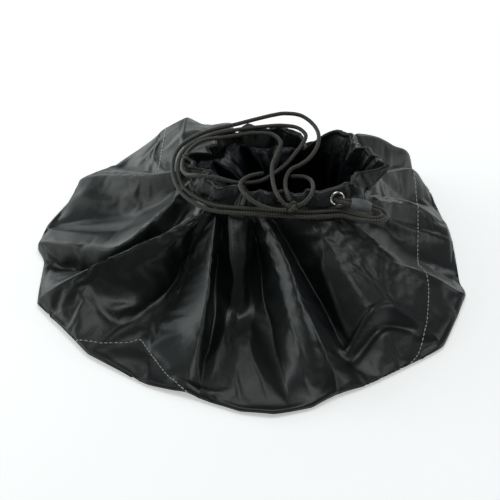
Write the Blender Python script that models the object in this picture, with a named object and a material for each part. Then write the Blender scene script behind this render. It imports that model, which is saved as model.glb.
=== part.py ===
"""Film changing bag with a drawstring mouth, lying collapsed on its base.

Metres, +Z up. The origin is under the middle of the bag, on the surface that it lies on, and the bag is seen
from -Y. A flat base panel carries four wall panels that climb to a gathered mouth behind the middle. The mouth is
a folded casing with a drawcord in it. Both ends of the cord leave through one eyelet and one stop, lie in loops
on the mouth, and are tied together.
"""

import math

import bmesh
import bpy
from mathutils import Matrix, Vector

# Driving dimensions.
HALF_WIDTH = 0.178
HALF_DEPTH = 0.166
MOUTH_CENTRE = Vector((0.026, 0.043))
MOUTH_HALF_WIDTH = 0.076
MOUTH_HALF_DEPTH = 0.045
MOUTH_HEIGHT = 0.074
MOUTH_TILT = 0.003
CASING_HEIGHT = 0.017
CORD_DIAMETER = 0.0035
OUTER_CLOTH = 0.0012
LINING_CLOTH = 0.0008
GAP = 0.0003

# The base panel, and the rim's soft roll that stands on it.
BASE_INSET = 0.003
RIM_RADIUS = 0.0042
RIM_UNDERSIDE = 0.009
RIM_FLOOR = OUTER_CLOTH + GAP
ROLL_ANGLES = [math.radians(a) for a in (-90, -30, 30)]

# The slope from the rim to the mouth, as shares of the way. The mouth's folds start part of the way up.
SLOPE_SHARES = (0.10, 0.30, 0.52, 0.74, 0.88, 1.0)
SLOPE_POWER = 1.12
FOLD_START = 0.45
FOLD_COUNT = 8
FOLD_DEPTH = 0.003

# The eyelet stands at this angle round the mouth, where the folds fade out.
EYELET_ANGLE = math.radians(-51)
EYELET_FLAT = 0.32
EYELET_RADIUS = 0.0065
EYELET_BORE = 0.0041
EYELET_BARREL = 0.0045
EYELET_STEPS = 24

# The casing is a folded hem with a tunnel for the cord. It leans in at the front and out at the back.
LEAN = -0.15
LEAN_SWING = 0.30
TUNNEL = CORD_DIAMETER + 0.0020
CASING_DEPTH = 2 * OUTER_CLOTH + TUNNEL
CASING_STEPS = 64
CORD_IN_CASING = 0.009

# Round the bag: the four panels meet at the front, right, back and left seams.
PANELS = {"front_right": -63, "back_right": 27, "back_left": 117, "front_left": 207}
SEAMS = {"front": -108, "right": -18, "back": 72, "left": 162}
PANEL_STEPS = 12
AROUND = 4 * PANEL_STEPS
SEAM_HALF_WIDTH = 0.004
SEAM_THICKNESS = 0.0008
SEAM_CLEARANCE = 0.0016  # the panels curve up beside the seam, so its flat strip stands off them
SEAM_SHARES = (0.16, 0.30, 0.52, 0.74, 0.88, 0.97)
THREAD = 0.0005
BASE_SEAM_SHARE = 0.10
HEM_STITCH_HEIGHT = 0.0022

# The stop's axis runs from its near end, beside the eyelet, to its far end.
STOP_NEAR = Vector((0.083, 0.003, 0.083))
STOP_FAR = Vector((0.0992, 0.003, 0.0777))
STOP_HALF_WIDTH = 0.0060
STOP_HALF_HEIGHT = 0.0039
CORD_PITCH = 0.0020  # half the distance between the two cords in the eyelet and the stop

KNOT_CENTRE = Vector((0.034, -0.006, 0.086))
KNOT_RADIUS = 0.0042
TIP_LENGTH = 0.003

# The first cord end: out of the eyelet, through the stop, round the mouth on the outside and to the knot.
FIRST_CORD = (
    (0.0727, 0.0134, 0.0803), (0.0740, 0.0102, 0.0815), (0.0758, 0.0070, 0.0827), (0.0788, 0.0052, 0.0834),
    (0.0830, 0.0050, 0.0830), (0.0920, 0.0050, 0.0801), (0.1020, 0.0050, 0.0768), (0.1070, 0.0038, 0.0756),
    (0.1112, 0.0000, 0.0754), (0.1128, -0.0055, 0.0760), (0.1112, -0.0112, 0.0772), (0.1060, -0.0155, 0.0784),
    (0.0970, -0.0155, 0.0790), (0.0870, -0.0100, 0.0765), (0.0755, -0.0036, 0.0745), (0.0490, -0.0070, 0.0760),
    (0.0260, -0.0078, 0.0780), (-0.0030, -0.0048, 0.0780), (-0.0310, 0.0020, 0.0755), (-0.0460, 0.0115, 0.0755),
    (-0.0580, 0.0260, 0.0765), (-0.0630, 0.0405, 0.0780), (-0.0645, 0.0540, 0.0800), (-0.0625, 0.0655, 0.0840),
    (-0.0565, 0.0725, 0.0890), (-0.0450, 0.0770, 0.0945), (-0.0320, 0.0800, 0.0985), (-0.0110, 0.0848, 0.1010),
    (0.0100, 0.0910, 0.1030), (0.0290, 0.0955, 0.1040), (0.0423, 0.0941, 0.1030), (0.0520, 0.0860, 0.1010),
    (0.0570, 0.0740, 0.0995), (0.0560, 0.0594, 0.0975), (0.0490, 0.0456, 0.0955), (0.0415, 0.0395, 0.0935),
    (0.0340, 0.0360, 0.0915), (0.0300, 0.0280, 0.0900), (0.0290, 0.0160, 0.0900), (0.0307, 0.0035, 0.0908),
    (0.0324, -0.0020, 0.0881),
)
# The second cord end: beside the first one, then once more round the mouth on the inside and to the knot.
SECOND_CORD = (
    (0.0690, 0.0118, 0.0801), (0.0704, 0.0086, 0.0814), (0.0723, 0.0050, 0.0826), (0.0765, 0.0020, 0.0838),
    (0.0830, 0.0010, 0.0830), (0.0920, 0.0010, 0.0801), (0.1020, 0.0010, 0.0768), (0.1060, -0.0004, 0.0760),
    (0.1082, -0.0045, 0.0762), (0.1070, -0.0092, 0.0774), (0.1020, -0.0118, 0.0786), (0.0870, -0.0050, 0.0765),
    (0.0755, 0.0012, 0.0750), (0.0490, -0.0030, 0.0775), (0.0260, -0.0040, 0.0798), (-0.0030, -0.0008, 0.0798),
    (-0.0295, 0.0065, 0.0772), (-0.0430, 0.0155, 0.0768), (-0.0540, 0.0280, 0.0770), (-0.0588, 0.0410, 0.0780),
    (-0.0600, 0.0530, 0.0800), (-0.0583, 0.0625, 0.0838), (-0.0525, 0.0690, 0.0885), (-0.0420, 0.0730, 0.0935),
    (-0.0300, 0.0758, 0.0972), (-0.0110, 0.0812, 0.0978), (0.0100, 0.0850, 0.0980), (0.0270, 0.0865, 0.0982),
    (0.0400, 0.0835, 0.0980), (0.0465, 0.0755, 0.0968), (0.0440, 0.0655, 0.0955), (0.0375, 0.0540, 0.0940),
    (0.0305, 0.0440, 0.0915), (0.0220, 0.0360, 0.0890), (0.0100, 0.0285, 0.0860), (-0.0090, 0.0225, 0.0880),
    (-0.0270, 0.0225, 0.0935), (-0.0430, 0.0255, 0.0935), (-0.0530, 0.0340, 0.0880), (-0.0560, 0.0450, 0.0865),
    (-0.0545, 0.0560, 0.0885), (-0.0485, 0.0640, 0.0925), (-0.0380, 0.0690, 0.0965), (-0.0240, 0.0710, 0.0972),
    (0.0040, 0.0765, 0.0980), (0.0190, 0.0745, 0.0978), (0.0255, 0.0650, 0.0975), (0.0225, 0.0510, 0.0965),
    (0.0185, 0.0375, 0.0950), (0.0185, 0.0210, 0.0935), (0.0205, 0.0080, 0.0925), (0.0240, -0.0010, 0.0912),
    (0.0290, -0.0056, 0.0875),
)
# The two tails beyond the knot.
RIGHT_TAIL = (
    (0.0388, -0.0055, 0.0865), (0.0440, -0.0040, 0.0885), (0.0490, 0.0010, 0.0907), (0.0515, 0.0090, 0.0912),
    (0.0515, 0.0190, 0.0905), (0.0485, 0.0270, 0.0890), (0.0430, 0.0315, 0.0875), (0.0370, 0.0330, 0.0865),
)
LEFT_TAIL = (
    (0.0300, -0.0088, 0.0850), (0.0220, -0.0095, 0.0855), (0.0130, -0.0075, 0.0867), (0.0040, -0.0035, 0.0887),
    (-0.0040, 0.0035, 0.0910), (-0.0080, 0.0120, 0.0920), (-0.0065, 0.0210, 0.0917), (0.0000, 0.0280, 0.0910),
    (0.0080, 0.0315, 0.0905),
)

COLOURS = {
    "outer_nylon": ((0.018, 0.020, 0.021), 0.42, 0.0),
    "lining_nylon": ((0.012, 0.013, 0.018), 0.38, 0.0),
    "light_thread": ((0.42, 0.43, 0.43), 0.8, 0.0),
    "braided_cord": ((0.045, 0.043, 0.035), 0.65, 0.0),
    "nickel": ((0.72, 0.70, 0.66), 0.25, 1.0),
    "stop_plastic": ((0.06, 0.065, 0.07), 0.5, 0.0),
}


def clear_scene():
    for obj in list(bpy.data.objects):
        bpy.data.objects.remove(obj)


def material(name):
    """The Principled material of that name, made once."""
    found = bpy.data.materials.get(name)
    if found:
        return found
    colour, roughness, metallic = COLOURS[name]
    made = bpy.data.materials.new(name)
    made.use_nodes = True
    shader = made.node_tree.nodes["Principled BSDF"]
    shader.inputs["Base Color"].default_value = (*colour, 1)
    shader.inputs["Roughness"].default_value = roughness
    shader.inputs["Metallic"].default_value = metallic
    return made


def add_object(name, data, finish):
    obj = bpy.data.objects.new(name, data)
    bpy.context.scene.collection.objects.link(obj)
    data.materials.append(material(finish))
    return obj


def mesh_object(name, work, finish):
    """An object from a bmesh, with its faces turned out and its round parts shaded smooth."""
    bmesh.ops.recalc_face_normals(work, faces=work.faces)
    mesh = bpy.data.meshes.new(name)
    work.to_mesh(mesh)
    work.free()
    mesh.shade_smooth()
    mesh.set_sharp_from_angle(angle=math.radians(50))
    return add_object(name, mesh, finish)


def swept_solid(name, rows, finish, closed):
    """A solid from rows of points. Each row is one closed section, and the rows go round or from end to end."""
    work = bmesh.new()
    rings = [[work.verts.new(point) for point in row] for row in rows]
    size = len(rings[0])
    pairs = list(zip(rings, rings[1:]))
    if closed:
        pairs.append((rings[-1], rings[0]))
    for here, there in pairs:
        for j in range(size):
            k = (j + 1) % size
            work.faces.new((here[j], here[k], there[k], there[j]))
    if not closed:
        work.faces.new(rings[0])
        work.faces.new(rings[-1])
    return mesh_object(name, work, finish)


# The bag's outline, its mouth and its wall.


def rim(u, inset=0.0):
    """The bag's outline in plan at angle u, drawn in by inset."""
    return Vector(((HALF_WIDTH - inset) * math.cos(u), (HALF_DEPTH - inset) * math.sin(u)))


def fold(u):
    """How far the mouth's folds push it outwards at angle u."""
    away = math.remainder(u - EYELET_ANGLE, 2 * math.pi)
    return FOLD_DEPTH * math.cos(FOLD_COUNT * away) * (1 - math.exp(-((away / EYELET_FLAT) ** 2)))


def mouth(u, outwards=0.0, folds=1.0):
    """The mouth's outline in plan at angle u."""
    push = outwards + folds * fold(u)
    reach = Vector(((MOUTH_HALF_WIDTH + push) * math.cos(u), (MOUTH_HALF_DEPTH + push) * math.sin(u)))
    return MOUTH_CENTRE + reach


def mouth_height(u):
    return MOUTH_HEIGHT + MOUTH_TILT * math.sin(u)


def wall_profile(u):
    """The wall's outer face at angle u, as (way in from the rim, height): underside, roll, then slope."""
    roll_top = RIM_FLOOR + RIM_RADIUS * (1 + math.sin(ROLL_ANGLES[-1]))
    profile = [(RIM_UNDERSIDE, RIM_FLOOR)]
    for angle in ROLL_ANGLES:
        profile.append((RIM_RADIUS * (1 - math.cos(angle)), RIM_FLOOR + RIM_RADIUS * (1 + math.sin(angle))))
    climb = mouth_height(u) - roll_top
    for share in SLOPE_SHARES:
        folds = max(0.0, (share - FOLD_START) / (1 - FOLD_START))
        way = (mouth(u, folds=folds) - rim(u)).length
        profile.append((share * way, roll_top + climb * share**SLOPE_POWER))
    return profile


def deeper(profile, depth):
    """A profile moved through the cloth, from its outer face towards its inner one."""
    moved = []
    for i, (way, height) in enumerate(profile):
        before = Vector(profile[max(i - 1, 0)])
        after = Vector(profile[min(i + 1, len(profile) - 1)])
        along = (after - before).normalized()
        moved.append((way + depth * along.y, height - depth * along.x))
    return moved


def wall_point(u, way, height):
    inwards = (mouth(u, folds=0.0) - rim(u)).normalized()
    flat = rim(u) + inwards * way
    return Vector((flat.x, flat.y, height))


def cloth_section(u, outer, inner):
    """One closed section of a cloth layer, between two depths below the wall's outer face."""
    profile = wall_profile(u)
    path = deeper(profile, outer) + deeper(profile, inner)[::-1]
    return [wall_point(u, way, height) for way, height in path]


def wall_panel(name, middle):
    """One of the four outer panels, a hairline away from its neighbours."""
    half = math.pi / 4 - GAP / MOUTH_HALF_DEPTH / 2
    angles = [math.radians(middle) + half * (2 * i / PANEL_STEPS - 1) for i in range(PANEL_STEPS + 1)]
    rows = [cloth_section(u, 0.0, OUTER_CLOTH) for u in angles]
    return swept_solid(f"wall_panel_{name}", rows, "outer_nylon", closed=False)


def lining_wall():
    outer = OUTER_CLOTH + 2 * GAP
    start = math.radians(SEAMS["front"])
    angles = [start + 2 * math.pi * i / AROUND for i in range(AROUND)]
    rows = [cloth_section(u, outer, outer + LINING_CLOTH) for u in angles]
    return swept_solid("lining_wall", rows, "lining_nylon", closed=True)


def flat_panel(name, inset, bottom, thickness, finish):
    """A flat panel with the bag's outline."""
    outline = [rim(2 * math.pi * i / AROUND, inset) for i in range(AROUND)]
    rows = [[(p.x, p.y, height) for p in outline] for height in (bottom, bottom + thickness)]
    return swept_solid(name, rows, finish, closed=False)


def slope_frame(u, share):
    """The slope's outer face at a share of the way up: a point, the way up the slope and the way out of it."""
    profile = wall_profile(u)[1 + len(ROLL_ANGLES):]
    upper = next(i for i in range(1, len(profile)) if SLOPE_SHARES[i] >= share)
    low, high = Vector(profile[upper - 1]), Vector(profile[upper])
    part = (share - SLOPE_SHARES[upper - 1]) / (SLOPE_SHARES[upper] - SLOPE_SHARES[upper - 1])
    here = low.lerp(high, part)
    point = wall_point(u, here.x, here.y)
    up = (wall_point(u, high.x, high.y) - wall_point(u, low.x, low.y)).normalized()
    side = up.cross(Vector((0, 0, 1))).normalized()
    return point, up, side.cross(up).normalized()


def seam_strip(name, degrees):
    """The felled seam between two wall panels: a strip of cloth a little proud of them."""
    rows = []
    for share in SEAM_SHARES:
        point, up, out = slope_frame(math.radians(degrees), share)
        side = up.cross(out) * SEAM_HALF_WIDTH
        low = point + out * SEAM_CLEARANCE
        high = low + out * SEAM_THICKNESS
        rows.append([low - side, low + side, high + side, high - side])
    return swept_solid(f"{name}_seam", rows, "outer_nylon", closed=False)


def thread_ring(name, count, place, finish):
    """A closed thread of square section. place(angle) gives its middle, the way up and the way out."""
    rows = []
    for i in range(count):
        point, up, out = place(EYELET_ANGLE + 2 * math.pi * (i + 0.5) / count)
        corners = ((-1, -1), (1, -1), (1, 1), (-1, 1))
        rows.append([point + THREAD * (a * up + b * out) for a, b in corners])
    return swept_solid(name, rows, finish, closed=True)


def base_seam_place(u):
    point, up, out = slope_frame(u, BASE_SEAM_SHARE + 0.001)
    return point + out * (GAP + 2 * THREAD), up, out


# The casing, its cord and the eyelet.


def casing_point(u, depth, height):
    """A point of the casing: depth inwards from its outer face, height above its lower edge."""
    lean = (LEAN + LEAN_SWING * math.sin(u)) * height
    flat = mouth(u, outwards=lean - depth)
    return Vector((flat.x, flat.y, mouth_height(u) + GAP + height))


def casing_angles():
    return [EYELET_ANGLE + 2 * math.pi * (i + 0.5) / CASING_STEPS for i in range(CASING_STEPS)]


def mouth_casing():
    top = CASING_HEIGHT
    inner = CASING_DEPTH - OUTER_CLOTH
    bevel = 0.0018
    section = (
        (0.0, 0.0), (0.0, top - bevel), (bevel, top), (CASING_DEPTH - bevel, top), (CASING_DEPTH, top - bevel),
        (CASING_DEPTH, 0.0), (inner, 0.0), (inner, top - bevel), (OUTER_CLOTH, top - bevel), (OUTER_CLOTH, 0.0),
    )
    rows = [[casing_point(u, depth, height) for depth, height in section] for u in casing_angles()]
    return swept_solid("mouth_casing", rows, "outer_nylon", closed=True)


def casing_cord():
    """The drawcord in the casing. It stops short of the eyelet on both sides, where its ends turn out."""
    depth = OUTER_CLOTH + TUNNEL / 2
    angles = casing_angles()[1:-1]
    points = [casing_point(u, depth, CORD_IN_CASING) for u in angles]
    return tube("casing_cord", points)


def hem_stitch_place(u):
    outside = 2 * GAP + THREAD
    point = casing_point(u, -outside, HEM_STITCH_HEIGHT)
    above = casing_point(u, -outside, HEM_STITCH_HEIGHT + OUTER_CLOTH)
    up = (above - point).normalized()
    out = Vector((math.cos(u), math.sin(u), 0))
    return point, up, (out - up * out.dot(up)).normalized()


def eyelet_frame():
    """The middle of the eyelet on the casing's outer face. Its X runs along the casing and its Z looks out."""
    step = 0.05
    point = casing_point(EYELET_ANGLE, 0.0, CORD_IN_CASING)
    before = casing_point(EYELET_ANGLE - step, 0.0, CORD_IN_CASING)
    beside = casing_point(EYELET_ANGLE + step, 0.0, CORD_IN_CASING)
    above = casing_point(EYELET_ANGLE, 0.0, CORD_IN_CASING + OUTER_CLOTH)
    along = (beside - before).normalized()
    out = along.cross(above - point).normalized()
    frame = Matrix((along, out.cross(along), out)).transposed().to_4x4()
    frame.translation = point
    return frame


def lathe(name, profile, frame, finish):
    """A turned ring: profile holds (radius, height) pairs of a closed section, turned about the frame's Z."""
    rows = []
    for i in range(EYELET_STEPS):
        turn = 2 * math.pi * i / EYELET_STEPS
        spin = Vector((math.cos(turn), math.sin(turn), 0))
        rows.append([frame @ (spin * radius + Vector((0, 0, height))) for radius, height in profile])
    return swept_solid(name, rows, finish, closed=True)


CASING_BOW = 0.0006  # how far the casing bows away from the flat eyelet at its edge


def eyelet_flange(frame):
    """The outer ring of the eyelet, with the barrel that passes through the cloth."""
    face, barrel_end = GAP, -OUTER_CLOTH - 0.0028
    profile = (
        (EYELET_BARREL, barrel_end), (EYELET_BARREL, face), (EYELET_RADIUS, face),
        (EYELET_RADIUS, face + 0.0005), (EYELET_RADIUS - 0.0008, face + 0.0012),
        (EYELET_BORE + 0.0008, face + 0.0012), (EYELET_BORE, face + 0.0005), (EYELET_BORE, barrel_end),
    )
    return lathe("eyelet_flange", profile, frame, "nickel")


def eyelet_patch(frame):
    """The stiff reinforcing ring of cloth behind the eyelet."""
    top = -OUTER_CLOTH - CASING_BOW - GAP
    inner, edge, bottom = EYELET_BARREL + GAP, EYELET_RADIUS + 0.0005, top - 0.0006
    return lathe("eyelet_patch", ((inner, top), (edge, top), (edge, bottom), (inner, bottom)), frame, "outer_nylon")


def eyelet_washer(frame):
    top = -OUTER_CLOTH - CASING_BOW - 0.0012
    inner, edge, bottom = EYELET_BARREL + GAP, EYELET_RADIUS, top - 0.0006
    return lathe("eyelet_washer", ((inner, top), (edge, top), (edge, bottom), (inner, bottom)), frame, "nickel")


def cut_eyelet_hole(casing, frame):
    """Cuts the eyelet's hole through the casing's outer layer."""
    radius, low, high = EYELET_BARREL + GAP, -OUTER_CLOTH - 0.0020, 0.0030
    work = bmesh.new()
    bmesh.ops.create_cone(
        work, cap_ends=True, segments=EYELET_STEPS, radius1=radius, radius2=radius, depth=high - low
    )
    cutter = mesh_object("eyelet_hole_cutter", work, "outer_nylon")
    cutter.matrix_world = frame @ Matrix.Translation((0, 0, (low + high) / 2))
    cutter.hide_render = True
    cutter.display_type = "WIRE"
    modifier = casing.modifiers.new("eyelet_hole", "BOOLEAN")
    modifier.operation = "DIFFERENCE"
    modifier.object = cutter


# The free cord, its stop, knot and tips.


def smooth_line(knots, spacing):
    """Points about spacing apart on a centripetal Catmull-Rom curve through the knots."""
    ends = [knots[0] * 2 - knots[1], *knots, knots[-1] * 2 - knots[-2]]
    points = []
    for a, b, c, d in zip(ends, ends[1:], ends[2:], ends[3:]):
        t1 = (b - a).length ** 0.5
        t2 = t1 + (c - b).length ** 0.5
        t3 = t2 + (d - c).length ** 0.5
        count = max(1, round((c - b).length / spacing))
        for i in range(count):
            t = t1 + (t2 - t1) * i / count
            ab = a.lerp(b, t / t1)
            bc = b.lerp(c, (t - t1) / (t2 - t1))
            cd = c.lerp(d, (t - t2) / (t3 - t2))
            abc = ab.lerp(bc, t / t2)
            bcd = bc.lerp(cd, (t - t1) / (t3 - t1))
            points.append(abc.lerp(bcd, (t - t1) / (t2 - t1)))
    return points + [knots[-1]]


def tube(name, points):
    """A cord: a curve object with a round bevel and filled ends."""
    curve = bpy.data.curves.new(name, "CURVE")
    curve.dimensions = "3D"
    curve.bevel_depth = CORD_DIAMETER / 2
    curve.bevel_resolution = 2
    curve.use_fill_caps = True
    spline = curve.splines.new("POLY")
    spline.points.add(len(points) - 1)
    for at, point in zip(spline.points, points):
        at.co = (*point, 1)
    return add_object(name, curve, "braided_cord")


def free_cord(name, route):
    """A free cord along its route, with a point every 2 to 3 diameters."""
    return tube(name, smooth_line([Vector(point) for point in route], 3.2 * CORD_DIAMETER))


def stop_outline(turn, half_width, half_height):
    """How far an oval reaches at an angle."""
    return half_width * half_height / math.hypot(half_height * math.cos(turn), half_width * math.sin(turn))


def slot_outline(turn):
    """How far the stop's slot reaches at an angle: two cords side by side with a little room."""
    radius = CORD_DIAMETER / 2 + 0.0004
    flat_end = math.atan2(radius, CORD_PITCH)
    tilt = abs(math.remainder(turn, math.pi))
    if tilt > flat_end:
        return radius / math.sin(tilt)
    return CORD_PITCH * math.cos(tilt) + math.sqrt(radius**2 - (CORD_PITCH * math.sin(tilt)) ** 2)


def cord_stop():
    """An oval bead on both cords. Its origin is at its middle, and its local Z is the way it slides."""
    length = (STOP_FAR - STOP_NEAR).length
    axis = (STOP_FAR - STOP_NEAR).normalized()
    wide = Vector((0, 1, 0))
    high = axis.cross(wide)
    frame = Matrix((wide, high, axis)).transposed().to_4x4()
    frame.translation = (STOP_NEAR + STOP_FAR) / 2
    body = ((-0.5, 0.80), (-0.42, 0.93), (0.0, 1.0), (0.42, 0.93), (0.5, 0.80))
    rows = []
    for i in range(EYELET_STEPS):
        turn = 2 * math.pi * i / EYELET_STEPS
        spin = Vector((math.cos(turn), math.sin(turn), 0))
        slot = spin * slot_outline(turn)
        oval = spin * stop_outline(turn, STOP_HALF_WIDTH, STOP_HALF_HEIGHT)
        row = [slot + Vector((0, 0, length / 2)), slot - Vector((0, 0, length / 2))]
        row += [oval * size + Vector((0, 0, along * length)) for along, size in body]
        rows.append(row)
    stop = swept_solid("cord_stop", rows, "stop_plastic", closed=True)
    stop.matrix_world = frame
    return stop


def end_knot():
    """The overhand knot that ties both cord ends together, as one rounded lump."""
    work = bmesh.new()
    bmesh.ops.create_uvsphere(work, u_segments=16, v_segments=10, radius=KNOT_RADIUS)
    knot = mesh_object("end_knot", work, "braided_cord")
    knot.location = KNOT_CENTRE
    return knot


def cord_tip(name, route):
    """The heat-sealed tip in line with the end of a tail."""
    end = Vector(route[-1])
    axis = (end - Vector(route[-2])).normalized()
    frame = axis.to_track_quat("Z", "Y").to_matrix().to_4x4()
    frame.translation = end + axis * GAP
    radius = CORD_DIAMETER / 2
    work = bmesh.new()
    bmesh.ops.create_cone(
        work, cap_ends=True, segments=12, radius1=radius, radius2=radius * 0.7, depth=TIP_LENGTH,
        matrix=Matrix.Translation((0, 0, TIP_LENGTH / 2)),
    )
    tip = mesh_object(name, work, "braided_cord")
    tip.matrix_world = frame
    return tip


def main():
    clear_scene()
    flat_panel("base_panel", BASE_INSET, 0.0, OUTER_CLOTH, "outer_nylon")
    flat_panel("base_lining", RIM_UNDERSIDE + 2 * GAP, RIM_FLOOR, LINING_CLOTH, "lining_nylon")
    for name, middle in PANELS.items():
        wall_panel(name, middle)
    lining_wall()
    for name, degrees in SEAMS.items():
        seam_strip(name, degrees)
    thread_ring("base_seam_thread", AROUND, base_seam_place, "light_thread")

    casing = mouth_casing()
    thread_ring("hem_thread", CASING_STEPS, hem_stitch_place, "light_thread")
    casing_cord()
    frame = eyelet_frame()
    cut_eyelet_hole(casing, frame)
    eyelet_flange(frame)
    eyelet_patch(frame)
    eyelet_washer(frame)

    free_cord("drawcord_first_end", FIRST_CORD)
    free_cord("drawcord_second_end", SECOND_CORD)
    free_cord("drawcord_right_tail", RIGHT_TAIL)
    free_cord("drawcord_left_tail", LEFT_TAIL)
    cord_stop()
    end_knot()
    cord_tip("cord_tip_right", RIGHT_TAIL)
    cord_tip("cord_tip_left", LEFT_TAIL)


main()
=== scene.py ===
"""The looks of a film changing bag: a black nylon drawstring sack that lies collapsed on a table.

The wall is lofted over listed folds and then relaxed as cloth. The collar, its lining and the drawcord
stand on it. Everything is in metres in the CAD frame: +Z up, the bag seen from -Y.
"""

import math

import bmesh
import bpy
import numpy as np
from mathutils import Matrix, Vector, noise
from mathutils.bvhtree import BVHTree


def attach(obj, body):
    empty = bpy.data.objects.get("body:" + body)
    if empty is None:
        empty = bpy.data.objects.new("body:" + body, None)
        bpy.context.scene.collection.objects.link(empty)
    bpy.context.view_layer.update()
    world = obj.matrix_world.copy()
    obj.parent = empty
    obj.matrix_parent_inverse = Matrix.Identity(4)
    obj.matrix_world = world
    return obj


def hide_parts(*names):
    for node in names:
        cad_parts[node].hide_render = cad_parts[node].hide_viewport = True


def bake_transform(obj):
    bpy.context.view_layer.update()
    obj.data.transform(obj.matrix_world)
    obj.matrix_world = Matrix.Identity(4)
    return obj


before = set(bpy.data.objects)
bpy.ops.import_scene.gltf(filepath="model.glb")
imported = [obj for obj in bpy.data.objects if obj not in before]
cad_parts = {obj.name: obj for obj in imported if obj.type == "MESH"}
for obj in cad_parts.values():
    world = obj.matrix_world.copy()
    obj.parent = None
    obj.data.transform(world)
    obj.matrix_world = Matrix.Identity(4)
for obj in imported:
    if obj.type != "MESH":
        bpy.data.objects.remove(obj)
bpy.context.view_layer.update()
MM = 0.001

# ---------------- camera, light and floor

VIEW_ELEVATION = math.radians(40)
VIEW_DISTANCE = 2.882
VIEW_TARGET = Vector((0.0, 0.0, 0.0347))
LENS_MM = 250
SENSOR_MM = 36
SKY_COLOUR = (0.95, 0.97, 1.0, 1)
SKY_STRENGTH = 0.12
# Each panel of light: name, place, the place it looks at, width, height, power and colour.
PANELS = (
    ("left_back_panel", (-1.05, 0.95, 0.42), (0, 0, 0.05), 1.5, 0.75, 9.5, (0.92, 1.0, 0.98)),
    ("back_panel", (0.35, 1.55, 0.38), (0, 0, 0.05), 1.1, 0.55, 4.5, (0.92, 1.0, 0.98)),
    ("left_panel", (-1.45, -0.15, 0.55), (0, 0, 0.03), 0.7, 0.7, 4.5, (0.94, 1.0, 0.98)),
    ("top_softbox", (0.10, 0.10, 1.70), (0, 0, 0), 1.3, 1.1, 10, (0.94, 1.0, 0.99)),
    ("right_fill", (1.45, 0.10, 0.60), (0, 0, 0), 0.5, 0.6, 2.5, (1.0, 1.0, 1.0)),
)
FLOOR_HALF_WIDTH = 6.0
FLOOR_COLOUR = (0.93, 0.93, 0.93, 1)
FLOOR_GLOW = 0.42


def set_camera():
    data = bpy.data.cameras.new("camera")
    data.lens = LENS_MM
    data.sensor_width = SENSOR_MM
    camera = bpy.data.objects.new("camera", data)
    away = Vector((0, -math.cos(VIEW_ELEVATION), math.sin(VIEW_ELEVATION)))
    camera.location = VIEW_TARGET + away * VIEW_DISTANCE
    camera.rotation_euler = (-away).to_track_quat("-Z", "Y").to_euler()
    bpy.context.scene.collection.objects.link(camera)
    bpy.context.scene.camera = camera


def area_light(name, place, target, width, height, power, colour):
    data = bpy.data.lights.new(name, "AREA")
    data.shape = "RECTANGLE"
    data.size = width
    data.size_y = height
    data.energy = power
    data.color = colour
    light = bpy.data.objects.new(name, data)
    light.location = place
    light.rotation_euler = (Vector(target) - Vector(place)).to_track_quat("-Z", "Y").to_euler()
    bpy.context.scene.collection.objects.link(light)


def set_light():
    bpy.context.scene.view_settings.view_transform = "Standard"
    world = bpy.data.worlds.new("studio")
    world.use_nodes = True
    background = world.node_tree.nodes["Background"]
    background.inputs["Color"].default_value = SKY_COLOUR
    background.inputs["Strength"].default_value = SKY_STRENGTH
    bpy.context.scene.world = world
    for panel in PANELS:
        area_light(*panel)


def add_floor():
    half = FLOOR_HALF_WIDTH
    corners = [(-half, -half, 0), (half, -half, 0), (half, half, 0), (-half, half, 0)]
    mesh = bpy.data.meshes.new("floor")
    mesh.from_pydata(corners, [], [(0, 1, 2, 3)])
    floor = bpy.data.objects.new("floor", mesh)
    bpy.context.scene.collection.objects.link(floor)
    made = bpy.data.materials.new("floor_white")
    made.use_nodes = True
    shader = made.node_tree.nodes["Principled BSDF"]
    shader.inputs["Base Color"].default_value = FLOOR_COLOUR
    shader.inputs["Roughness"].default_value = 0.9
    shader.inputs["Specular IOR Level"].default_value = 0.1
    shader.inputs["Emission Color"].default_value = (1, 1, 1, 1)
    shader.inputs["Emission Strength"].default_value = FLOOR_GLOW
    mesh.materials.append(made)


# ---------------- materials


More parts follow.
